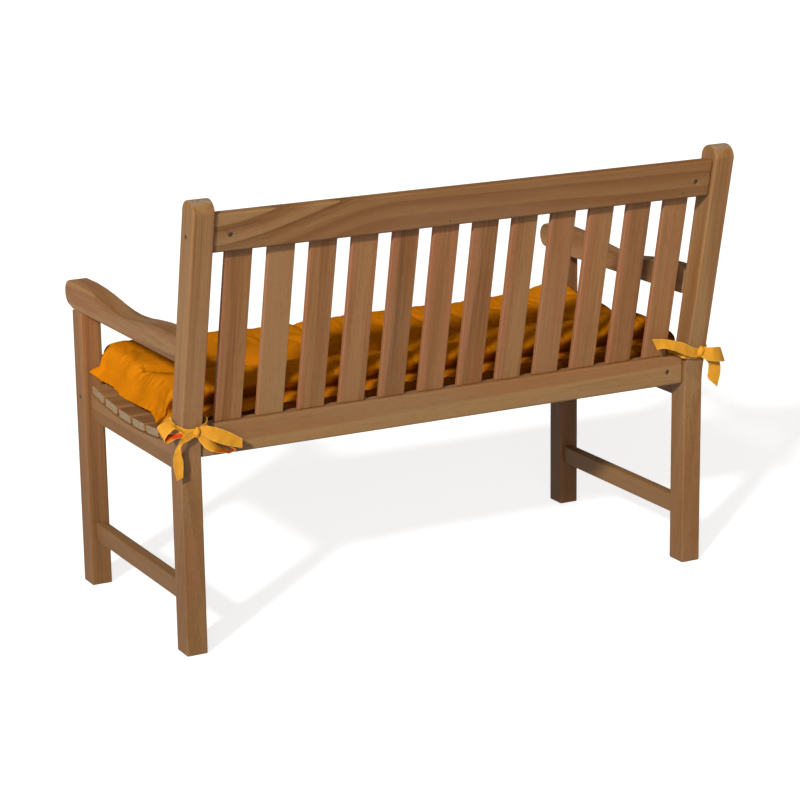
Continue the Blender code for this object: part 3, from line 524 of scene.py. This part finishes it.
def panel_point(share_x, y, upper):
    """A point of the top or bottom panel on one line of its grid."""
    half = half_length(y, share_x)
    x = share_x * half
    front, rear = front_edge(x), rear_edge(x)
    depth_share = (y - cushion_front) / (cushion_rear - cushion_front)
    y = y + (front - cushion_front) * (1 - depth_share) + (rear - cushion_rear) * depth_share
    from_end, from_side = half - abs(x), min(y - front, rear - y)
    nearest = min(from_end, from_side)
    hang = 1 - min(nearest / flange_width, 1.0)
    along = y if from_end < from_side else x
    loose = 0.40 if from_end < from_side else 1.0
    ripple = flange_ripple * loose * gather(along) * hang ** 1.5
    stiff = eased(y, cushion_rear - 0.050, cushion_rear - 0.020) * (1 - eased(abs(x), 0.49, 0.56))
    ripple = ripple + stiff * hang * (0.0022 * rough(x * 26, 5.5) + 0.0010 * rough(x * 70, 8.5))
    drop = flange_drop + stiff * (0.0119 + 0.0148 * x - flange_drop)
    ripple = ripple - 0.0060 * stiff * bump_at(nearest, flange_width + 0.001, 0.0050)
    flange = seat_height(y) + seam_rise - drop * hang + 0.0025 * sin(x * 23 + y * 40) + ripple
    half_thick = cloth_half + 0.0007 * eased(nearest, 0.0, 0.004)
    half_thick = half_thick - 0.0006 * bump_at(nearest, flange_width, 0.0016)
    inside = (from_end - flange_width, from_side - flange_width)
    if upper:
        rise = seat_height(y) + filling(x, y) - flange
        shoulder = front_shoulder + (rear_shoulder - front_shoulder) * eased(y, -0.02, 0.10)
        share = rounding(*inside, end_shoulder, shoulder)
        z = flange + half_thick + (rise - half_thick) * share + wrinkles(x, y, from_end, from_side)
    else:
        drop = flange - seat_height(y) - seat_clear
        z = flange - half_thick - (drop - half_thick) * rounding(*inside, under_shoulder, under_shoulder)
    outward = 0.0010 * gather(along + 0.31) * hang
    point = Vector((x, y, z)) + corner_pull(x, y)
    if upper:
        belly = eased(inside[1], 0.0, belly_low) * exp(-max(inside[1] - belly_low, 0.0) / belly_fade)
        point.y = point.y + belly_out * belly * eased(y, 0.05, 0.12) * (1 - eased(abs(x), 0.49, 0.55))
    if from_end < from_side:
        point.x = point.x + (outward if x > 0 else -outward)
    point.y = point.y + feet_middle
    return point


def marched(low, high, edge_step, middle_step):
    """Places from low to high, close together over the flange and the shoulder at each end."""
    places, here = [low], low
    while here < high:
        from_edge = min(here - low, high - here)
        here = here + edge_step + (middle_step - edge_step) * eased(from_edge, 0.02, 0.09)
        places.append(min(here, high))
    return places


settling_frames, farthest_move = 12, 0.010
rows = marched(cushion_front, cushion_rear, 0.0026, 0.0038)
shares = [place / cushion_half for place in marched(-cushion_half, cushion_half, 0.0027, 0.0052)]


def sewn_panel(name, upper):
    """The top or the bottom panel. cloth is each point's length along the cloth, and tucked is 1 in
    the groove over the rear seam, where the top panel's cover is darkened with painted shade."""
    bpy.ops.object.select_all(action="DESELECT")
    bpy.ops.mesh.primitive_grid_add(x_subdivisions=len(shares) - 1, y_subdivisions=len(rows) - 1, size=1)
    panel = bpy.context.object
    panel.name = name
    across, deep = len(shares) - 1, len(rows) - 1
    where = {}
    for vertex in panel.data.vertices:
        where[(round((vertex.co.x + 0.5) * across), round((vertex.co.y + 0.5) * deep))] = vertex
    panel.data.attributes.new("groove_shade", "FLOAT", "POINT")
    panel.data.attributes.new("cloth", "FLOAT_VECTOR", "POINT")
    groove_shade, cloth = panel.data.attributes["groove_shade"], panel.data.attributes["cloth"]
    for (column, row), vertex in where.items():
        vertex.co = panel_point(shares[column], rows[row], upper)
        from_seam = cushion_rear - rows[row] - flange_width
        # Painted shade mask: 1 in the groove over the rear seam.
        groove = eased(from_seam, -0.001, 0.002) * (1 - eased(from_seam, 0.008, 0.020))
        groove_shade.data[vertex.index].value = groove if upper else 0.0
    for row in range(deep + 1):
        run = 0.0
        for column in range(across + 1):
            if column:
                run = run + (where[(column, row)].co - where[(column - 1, row)].co).length
            cloth.data[where[(column, row)].index].vector.x = run
    for column in range(across + 1):
        run = 0.0
        for row in range(deep + 1):
            if row:
                run = run + (where[(column, row)].co - where[(column, row - 1)].co).length
            cloth.data[where[(column, row)].index].vector.y = run
    return panel


def stuffed(panel, frames, farthest):
    """Lets the top panel bulge and crease over its filling: cut a little full, held at the seam.

    Softer holds keep it near its shape: tighter by the seam and on the front roll than elsewhere."""
    loosest, by_seam, on_roll, tightest = 0.06, 0.25, 0.45, 0.9
    shaped = [vertex.co.copy() for vertex in panel.data.vertices]
    held = panel.vertex_groups.new(name="held")
    for vertex in panel.data.vertices:
        x, y = vertex.co.x, vertex.co.y - feet_middle
        inside = min(half_length(y, x) - abs(x), y - cushion_front, cushion_rear - y) - flange_width
        taut = loosest + by_seam * (1 - eased(inside, 0.004, 0.020)) + on_roll * bump_at(y, -0.235, 0.048)
        held.add([vertex.index], 1.0 if inside < 0.004 else min(taut, tightest), "REPLACE")
    stuffing = panel.modifiers.new("stuffing", "CLOTH")
    cloth = stuffing.settings
    cloth.quality = 6
    cloth.mass = 0.15
    cloth.tension_stiffness = 15
    cloth.compression_stiffness = 5
    cloth.shear_stiffness = 5
    cloth.bending_stiffness = 1.0
    cloth.air_damping = 2.0
    cloth.use_pressure = True
    cloth.uniform_pressure_force = 1.0
    cloth.shrink_min = -0.018
    cloth.vertex_group_mass = "held"
    cloth.pin_stiffness = 1.0
    cloth.effector_weights.gravity = 0.0
    stuffing.collision_settings.use_collision = False
    for moment in range(1, frames + 1):
        bpy.context.scene.frame_set(moment)
    bpy.ops.object.select_all(action="DESELECT")
    panel.select_set(True)
    bpy.context.view_layer.objects.active = panel
    bpy.ops.object.modifier_apply(modifier="stuffing")
    bpy.context.scene.frame_set(1)
    for vertex, place in zip(panel.data.vertices, shaped):
        moved = vertex.co - place
        if moved.length > farthest:
            vertex.co = place + moved.normalized() * farthest


cushion = sewn_panel("seat_cushion", True)
stuffed(cushion, settling_frames, farthest_move)
under_panel = sewn_panel("seat_cushion_underside", False)
bpy.ops.object.select_all(action="DESELECT")
under_panel.select_set(True)
cushion.select_set(True)
bpy.context.view_layer.objects.active = cushion
bpy.ops.object.join()
bpy.ops.object.mode_set(mode="EDIT")
bpy.ops.mesh.select_mode(type="EDGE")
bpy.ops.mesh.select_all(action="DESELECT")
bpy.ops.mesh.select_non_manifold(extend=False, use_boundary=True, use_wire=False, use_multi_face=False,
                                 use_non_contiguous=False, use_verts=False)
bpy.ops.mesh.bridge_edge_loops()
bpy.ops.mesh.select_all(action="SELECT")
bpy.ops.mesh.normals_make_consistent(inside=False)
bpy.ops.object.mode_set(mode="OBJECT")
bpy.ops.object.shade_smooth()

dye_full, dye_thin, crease_highlight_dye, groove_shade_dye = (
    (0.445, 0.130, 0.0015), (0.540, 0.186, 0.0050), (0.660, 0.250, 0.008), (0.150, 0.030, 0.0005))
cover = new_finish("orange cover cloth", {"Roughness": 0.82, "Specular IOR Level": 0.0})


def woven_relief(finish, thread, slub, crease):
    """Threads over and under each other, uneven yarn and fine creases, read from the cloth's own lengths.

    Gives how thin the yarn is, and where the cloth is creased."""
    laid = wired(finish, "ShaderNodeAttribute", "Vector", {}, attribute_name="cloth")
    warp, weft = [wired(finish, "ShaderNodeTexWave", "Fac", {
        "Vector": laid, "Scale": 2 * pi / 20 / thread, "Distortion": 0.4}, bands_direction=direction)
                  for direction in ("X", "Y")]
    weave = worked(finish, "MULTIPLY", warp, weft)
    slubs = cloud(finish, stretched(finish, laid, (30, 900, 1)), 1.0, 2.0)
    folds = cloud(finish, laid, 34.0, 2.0, distortion=0.6)
    fold_line = worked(finish, "ABSOLUTE", worked(finish, "SUBTRACT", folds, 0.5))
    ridge = graded(finish, fold_line, 0.0, 0.045, 1.0, 0.0)
    where_creased = graded(finish, cloud(finish, laid, 7.0, 1.0), 0.50, 0.66)
    creased = worked(finish, "MULTIPLY", ridge, where_creased)
    relief = {}
    for height, strength, depth in ((creased, crease, 0.0012), (slubs, slub, 0.0003), (weave, 0.35, 0.0002)):
        relief = {"Normal": wired(finish, "ShaderNodeBump", "Normal", {
            "Height": height, "Strength": strength, "Distance": depth, **relief})}
    feed(finish, "Principled BSDF", relief)
    return slubs, creased


cover_slubs, cover_creases = woven_relief(cover, 0.0007, 0.25, 0.35)
cover_colour = tinted(cover, cover_slubs, dye_full, dye_thin)
# Painted highlight: the ridges of the fine creases are given a paler orange.
cover_colour = tinted(cover, worked(cover, "MULTIPLY", cover_creases, 0.35), cover_colour, crease_highlight_dye)
# Painted shade: the groove over the rear seam is given a dark red-brown colour.
cover_groove_shade = wired(cover, "ShaderNodeAttribute", "Fac", {}, attribute_name="groove_shade")
cover_colour = tinted(cover, cover_groove_shade, cover_colour, groove_shade_dye)
feed(cover, "Principled BSDF", {"Base Color": cover_colour})
cushion.data.materials.append(cover)
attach(cushion, "root")
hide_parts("cushion")

# ---- ribbons -----------------------------------------------------------------------------------
# Plain-woven cotton tapes, sewn on the cushion's rear corners. Each pair goes round its rear post
# and is tied behind it in a loose bow. The insides of the loops are painted a red-orange shade, and the ends
# hang free.
post_from_middle = 0.2833
post_face = feet_middle + post_from_middle
tape_thick, tape_columns, steps_a_section = 0.0009, 8, 6
pleat_reach, pleat_depth, limp_depth, selvedge_wave = 0.012, 0.0007, 0.0009, 0.0005

# A row is a section across the tape: its middle (out from the bench's end, back from the post's
# face, height) and the reach from there to the tape's upper or far edge.
Section = namedtuple("Section", "out back z reach_out reach_back reach_z")
left_knot = (-0.0287, 0.0085, 0.4560)
left_runs = {
    "strap_outer": [
        Section(-0.0077, -0.0881, 0.4478, 0.0085, 0, 0.0010),
        Section(-0.0017, -0.0736, 0.4530, 0.0070, 0, 0.0055),
        Section(0.0031, -0.0586, 0.4600, 0.0035, 0, 0.0100),
        Section(0.0039, -0.0446, 0.4658, 0, 0.0010, 0.0125),
        Section(0.0035, -0.0306, 0.4593, 0, 0.0010, 0.0115),
        Section(0.0033, -0.0126, 0.4563, 0, 0.0010, 0.0100),
        Section(0.0025, 0.0012, 0.4558, 0, 0.0012, 0.0085),
        Section(-0.0052, 0.0036, 0.4568, 0, 0.0015, 0.0070),
        Section(-0.0167, 0.0046, 0.4548, 0, 0.0015, 0.0080),
        Section(-0.0287, 0.0076, 0.4543, 0, 0.0015, 0.0080)],
    "strap_inner": [
        Section(0.0043, -0.0546, 0.4599, 0, 0, 0.0115),
        Section(-0.0177, -0.0541, 0.4619, 0, 0, 0.0115),
        Section(-0.0367, -0.0546, 0.4649, 0.0020, 0, 0.0112),
        Section(-0.0572, -0.0496, 0.4680, 0.0040, 0.0010, 0.0095),
        Section(-0.0590, -0.0376, 0.4700, 0.0015, 0, 0.0098),
        Section(-0.0590, -0.0196, 0.4705, 0.0010, 0, 0.0098),
        Section(-0.0585, -0.0066, 0.4690, 0.0015, 0, 0.0096),
        Section(-0.0548, 0.0034, 0.4655, 0.0030, 0.0010, 0.0088),
        Section(-0.0467, 0.0059, 0.4609, 0.0044, 0.0018, 0.0086),
        Section(-0.0387, 0.0066, 0.4579, 0.0020, 0.0020, 0.0090),
        Section(-0.0297, 0.0074, 0.4539, 0, 0.0015, 0.0080)],
    "loop_outer": [
        Section(-0.0272, 0.0076, 0.4563, -0.0018, -0.0013, 0.0056),
        Section(-0.0040, 0.0085, 0.4603, -0.0009, -0.0029, 0.0054),
        Section(0.0073, 0.0066, 0.4680, 0.0016, -0.0058, 0.0048),
        Section(0.0201, 0.0033, 0.4751, 0.0035, -0.0081, 0.0054),
        Section(0.0362, 0.0034, 0.4692, 0.0034, -0.0080, 0.0090),
        Section(0.0431, 0.0023, 0.4589, 0.0039, -0.0081, 0.0126),
        Section(0.0346, 0.0004, 0.4514, 0.0039, -0.0080, 0.0084),
        Section(0.0183, 0.0001, 0.4520, 0.0039, -0.0078, 0.0035),
        Section(0.0028, 0.0056, 0.4535, 0.0028, -0.0032, 0.0040),
        Section(-0.0147, 0.0060, 0.4523, 0.0003, -0.0018, 0.0047),
        Section(-0.0271, 0.0058, 0.4533, -0.0018, -0.0013, 0.0054)],
    "tail_outer": [
        Section(-0.0237, 0.0087, 0.4555, 0.0018, 0, 0.0067),
        Section(-0.0120, 0.0102, 0.4522, 0.0067, 0.0005, 0.0059),
        Section(-0.0034, 0.0122, 0.4476, 0.0071, 0.0005, 0.0044),
        Section(0.0045, 0.0127, 0.4410, 0.0053, 0.0010, 0.0012),
        Section(0.0118, 0.0127, 0.4325, 0.0039, -0.0020, -0.0010),
        Section(0.0133, 0.0112, 0.4194, 0.0063, -0.0025, 0.0003),
        Section(0.0124, 0.0097, 0.4031, 0.0092, -0.0020, -0.0001),
        Section(0.0115, 0.0092, 0.3862, 0.0085, -0.0015, -0.0008),
        Section(0.0095, 0.0087, 0.3683, 0.0059, -0.0010, -0.0021)],
    "loop_inner": [
        Section(-0.0300, 0.0100, 0.4532, -0.0010, -0.0005, 0.0067),
        Section(-0.0394, 0.0108, 0.4426, -0.0036, -0.0015, 0.0095),
        Section(-0.0484, 0.0137, 0.4326, -0.0045, -0.0035, 0.0099),
        Section(-0.0624, 0.0137, 0.4226, -0.0059, -0.0085, 0.0059),
        Section(-0.0806, 0.0085, 0.4130, -0.0058, -0.0130, 0.0011),
        Section(-0.0966, 0.0043, 0.4063, -0.0046, -0.0135, -0.0016),
        Section(-0.1074, 0.0030, 0.4086, -0.0030, -0.0128, -0.0033),
        Section(-0.0987, 0.0026, 0.4161, -0.0028, -0.0123, -0.0027),
        Section(-0.0810, -0.0008, 0.4259, -0.0026, -0.0105, -0.0010),
        Section(-0.0606, -0.0024, 0.4385, -0.0022, -0.0056, 0.0012),
        Section(-0.0426, 0.0032, 0.4489, -0.0013, -0.0015, 0.0050),
        Section(-0.0300, 0.0054, 0.4542, -0.0010, -0.0005, 0.0067)],
    "tail_inner": [
        Section(-0.0302, 0.0087, 0.4554, -0.0002, -0.0005, 0.0076),
        Section(-0.0420, 0.0106, 0.4578, -0.0008, -0.0010, 0.0088),
        Section(-0.0541, 0.0136, 0.4525, -0.0009, -0.0020, 0.0127),
        Section(-0.0696, 0.0161, 0.4457, -0.0023, -0.0035, 0.0137),
        Section(-0.0906, 0.0166, 0.4366, -0.0025, -0.0030, 0.0125),
        Section(-0.1090, 0.0161, 0.4276, -0.0024, -0.0015, 0.0100),
        Section(-0.1190, 0.0166, 0.4236, -0.0008, -0.0010, 0.0088)],
}
right_knot = (-0.0178, 0.0100, 0.4685)
right_runs = {
    "strap_outer": [
        Section(0.0062, -0.0869, 0.4467, 0.0120, 0, 0.0010),
        Section(0.0067, -0.0733, 0.4540, 0.0097, 0, 0.0070),
        Section(0.0057, -0.0593, 0.4620, 0.0040, 0, 0.0120),
        Section(0.0038, -0.0453, 0.4670, 0, 0.0010, 0.0125),
        Section(0.0034, -0.0293, 0.4690, 0, 0.0010, 0.0115),
        Section(0.0032, -0.0103, 0.4690, 0, 0.0012, 0.0105),
        Section(0.0024, 0.0022, 0.4690, 0, 0.0015, 0.0100),
        Section(-0.0048, 0.0065, 0.4690, 0, 0.0018, 0.0095),
        Section(-0.0168, 0.0085, 0.4690, 0, 0.0018, 0.0090)],
    "strap_inner": [
        Section(0.0063, -0.0547, 0.4603, 0, 0, 0.0115),
        Section(-0.0177, -0.0542, 0.4623, 0, 0, 0.0115),
        Section(-0.0367, -0.0547, 0.4653, 0.0020, 0, 0.0112),
        Section(-0.0572, -0.0497, 0.4680, 0.0040, 0.0010, 0.0095),
        Section(-0.0590, -0.0377, 0.4700, 0.0015, 0, 0.0098),
        Section(-0.0590, -0.0197, 0.4705, 0.0010, 0, 0.0098),
        Section(-0.0588, -0.0077, 0.4700, 0.0015, 0, 0.0098),
        Section(-0.0562, 0.0013, 0.4675, 0.0030, 0.0010, 0.0092),
        Section(-0.0502, 0.0059, 0.4658, 0.0042, 0.0018, 0.0090),
        Section(-0.0407, 0.0061, 0.4643, 0.0010, 0.0022, 0.0098),
        Section(-0.0277, 0.0075, 0.4633, 0, 0.0022, 0.0102),
        Section(-0.0177, 0.0089, 0.4663, 0, 0.0018, 0.0095)],
    "loop_outer": [
        Section(-0.0178, 0.0124, 0.4670, 0.0007, 0, 0.0095),
        Section(-0.0071, 0.0152, 0.4637, 0.0011, -0.0010, 0.0133),
        Section(0.0102, 0.0187, 0.4610, -0.0005, -0.0015, 0.0153),
        Section(0.0303, 0.0147, 0.4577, -0.0039, -0.0015, 0.0163),
        Section(0.0377, 0.0087, 0.4557, -0.0057, -0.0005, 0.0152),
        Section(0.0301, 0.0052, 0.4564, -0.0037, 0, 0.0142),
        Section(0.0073, 0.0045, 0.4598, -0.0001, -0.0002, 0.0126),
        Section(-0.0178, 0.0062, 0.4659, 0.0007, 0, 0.0095)],
    "tail_outer": [
        Section(-0.0109, 0.0078, 0.4645, 0.0053, -0.0005, 0.0068),
        Section(0.0063, 0.0058, 0.4532, 0.0120, -0.0015, 0.0036),
        Section(0.0217, 0.0025, 0.4384, 0.0145, -0.0008, 0.0004),
        Section(0.0229, 0.0025, 0.4232, 0.0152, 0.0008, -0.0007),
        Section(0.0207, 0.0033, 0.4087, 0.0149, 0.0010, -0.0022),
        Section(0.0188, 0.0043, 0.3938, 0.0099, 0.0010, -0.0086)],
    "tail_inner": [
        Section(-0.0174, 0.0097, 0.4668, 0.0003, 0.0005, 0.0087),
        Section(-0.0407, 0.0142, 0.4707, -0.0004, 0.0010, 0.0111),
        Section(-0.0651, 0.0167, 0.4821, -0.0006, -0.0005, 0.0127),
        Section(-0.0853, 0.0167, 0.4898, 0.0008, -0.0015, 0.0105),
        Section(-0.1037, 0.0157, 0.4959, 0.0031, -0.0025, 0.0091),
        Section(-0.1198, 0.0142, 0.4985, 0.0007, -0.0020, 0.0100),
        Section(-0.1354, 0.0132, 0.4990, -0.0058, -0.0010, 0.0119)],
}


def through(rows, steps):
    """A smooth curve through rows of numbers, with so many steps from each to the next."""
    padded = [rows[0]] + rows + [rows[-1]]
    out = []
    for before, here, after, last in zip(padded, padded[1:], padded[2:], padded[3:]):
        for step in range(steps):
            t = step / steps
            out.append([0.5 * (2 * b + (c - a) * t + (2 * a - 5 * b + 4 * c - d) * t * t
                               + (3 * b - a - 3 * c + d) * t ** 3)
                        for a, b, c, d in zip(before, here, after, last)])
    return out + [list(rows[-1])]


def beside_post(sign, row):
    out, back, z, reach_out, reach_back, reach_z = row
    point = Vector((sign * (post_outer + out), post_face + back, z))
    return point, Vector((sign * reach_out, reach_back, reach_z))


def cloth_attributes(piece):
    """Lengths along the cloth, the way into a loop that the painted shade follows, and 1 at the tape's edges.
    """
    for name, kind in (("cloth", "FLOAT_VECTOR"), ("painted_shade_way", "FLOAT_VECTOR"), ("edge", "FLOAT")):
        piece.data.attributes.new(name, kind, "POINT")
    return [piece.data.attributes[name] for name in ("cloth", "painted_shade_way", "edge")]


def tape(name, sign, sections, seed, tied):
    """A run of tape. tied says whether its start and its end go into the knot, where it is pleated."""
    placed = [beside_post(sign, row) for row in through([list(row) for row in sections], steps_a_section)]
    last = len(placed) - 1
    lengths = [0.0]
    for (point, _), (ahead, _) in zip(placed, placed[1:]):
        lengths.append(lengths[-1] + (ahead - point).length)
    middle = sum((point for point, _ in placed), Vector()) / len(placed)
    bpy.ops.object.select_all(action="DESELECT")
    bpy.ops.mesh.primitive_grid_add(x_subdivisions=tape_columns, y_subdivisions=last, size=1)
    run = bpy.context.object
    run.name = name
    cloth, painted_shade_way, edge = cloth_attributes(run)
    for vertex in run.data.vertices:
        share, step = 2 * vertex.co.x, round((vertex.co.y + 0.5) * last)
        (point, reach), along = placed[step], lengths[step]
        ahead = placed[min(step + 1, last)][0] - placed[max(step - 1, 0)][0]
        normal = ahead.cross(reach).normalized()
        to_end = lengths[-1] - along
        pleated = max(tied[0] * exp(-along / pleat_reach), tied[1] * exp(-to_end / pleat_reach))
        pleat = pleat_depth * pleated * sin(share * 8.5 + seed)
        limp = limp_depth * (1 - share * share + rough(along * 75, share * 0.9, seed)) * (1 - pleated)
        selvedge = selvedge_wave * sin(along * 420 + seed) * abs(share) ** 5 * (1 - pleated)
        vertex.co = point + share * reach + normal * (pleat + limp + selvedge)
        cloth.data[vertex.index].vector = (share * reach.length, along, 0)
        edge.data[vertex.index].value = abs(share)
        across = reach.normalized()
        to_middle = (middle - point) - (middle - point).dot(across) * across
        # Painted shade: a loop's faces turned inward get the red-orange colour.
        if tied == (1, 1):
            painted_shade_way.data[vertex.index].vector = to_middle.normalized() * (1 - pleated)
    thicken = run.modifiers.new("cloth", "SOLIDIFY")
    thicken.thickness = tape_thick
    thicken.offset = 0.0
    bpy.ops.object.modifier_apply(modifier="cloth")
    bpy.ops.object.shade_smooth_by_angle(angle=0.9)
    return run


def tied_knot(name, sign, middle, size, wrap):
    """The knot: a pinched lump with one turn of tape drawn across it."""
    centre, _ = beside_post(sign, (*middle, 0, 0, 0))
    wrap = Vector((sign * wrap[0], wrap[1], wrap[2])).normalized()
    bpy.ops.object.select_all(action="DESELECT")
    bpy.ops.mesh.primitive_uv_sphere_add(segments=40, ring_count=26, radius=1)
    knot = bpy.context.object
    knot.name = name
    cloth, painted_shade_way, _ = cloth_attributes(knot)
    for vertex in knot.data.vertices:
        way = vertex.co.normalized()
        off = abs(way.dot(wrap))
        turn = 1 - eased(off, 0.40, 0.52)
        groove = bump_at(off, 0.53, 0.07)
        # Painted shade: the groove's lower side is marked for the same red-orange colour as the loops'
        # insides.
        shade = groove * eased(-way.z, -0.35, 0.45)
        gathers = sin(way.dot(wrap) * 13 + 2.0 * rough(*(way * 2.1))) * turn
        under = sin(way.x * 7 + way.z * 9) * (1 - turn)
        swell = 0.90 + 0.14 * turn - 0.10 * groove + 0.030 * gathers + 0.035 * under
        cloth.data[vertex.index].vector = (way.x * size[0], way.z * size[2], way.y * size[1])
        painted_shade_way.data[vertex.index].vector = way * shade * 0.6
        vertex.co = centre + Vector([reach * part * swell for reach, part in zip(size, way)])
    bpy.ops.object.shade_smooth()
    return knot


tape_dark, tape_yellow = (0.530, 0.222, 0.010), (0.610, 0.285, 0.018)
tape_shade_red, tape_pale_edge = (0.480, 0.040, 0.001), (0.680, 0.370, 0.060)
tape_dye = new_finish("yellow tape cloth", {"Roughness": 0.72, "Specular IOR Level": 0.2})
tape_slubs, _ = woven_relief(tape_dye, 0.0006, 0.20, 0.20)
tape_facing = wired(tape_dye, "ShaderNodeNewGeometry", "Normal", {})
tape_shade_way = wired(tape_dye, "ShaderNodeAttribute", "Vector", {}, attribute_name="painted_shade_way")
tape_edge = wired(tape_dye, "ShaderNodeAttribute", "Fac", {}, attribute_name="edge")
# Painted shade: faces turned into a loop, and the knot's lower groove, are coloured deep red-orange.
tape_painted_shade = graded(tape_dye, reach_along(tape_dye, tape_facing, tape_shade_way), 0.10, 0.55)
tape_colour = tinted(tape_dye, tape_slubs, tape_dark, tape_yellow)
tape_colour = tinted(tape_dye, tape_painted_shade, tape_colour, tape_shade_red)
# The tape is paler along its edges.
tape_colour = tinted(tape_dye, graded(tape_dye, tape_edge, 0.86, 0.98), tape_colour, tape_pale_edge)
feed(tape_dye, "Principled BSDF", {"Base Color": tape_colour})

for side, sign, runs, knot_place, knot_size, wrap in (
        ("left", 1, left_runs, left_knot, (0.0080, 0.0066, 0.0104), (0.95, 0.0, 0.30)),
        ("right", -1, right_runs, right_knot, (0.0104, 0.0070, 0.0118), (0.85, 0.0, -0.55))):
    bow = tied_knot(f"ribbon_{side}", sign, knot_place, knot_size, wrap)
    pieces = []
    for index, (run_name, sections) in enumerate(runs.items()):
        tied = (1, 1) if run_name.startswith("loop") else (0, 1) if run_name.startswith("strap") else (1, 0)
        pieces.append(tape(f"ribbon_{side}_{run_name}", sign, sections, 1.7 * index + sign, tied))
    bpy.ops.object.select_all(action="DESELECT")
    for piece in pieces:
        piece.select_set(True)
    bow.select_set(True)
    bpy.context.view_layer.objects.active = bow
    bpy.ops.object.join()
    bow.data.materials.append(tape_dye)
    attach(bow, "root")
    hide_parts(f"tie_{side}")
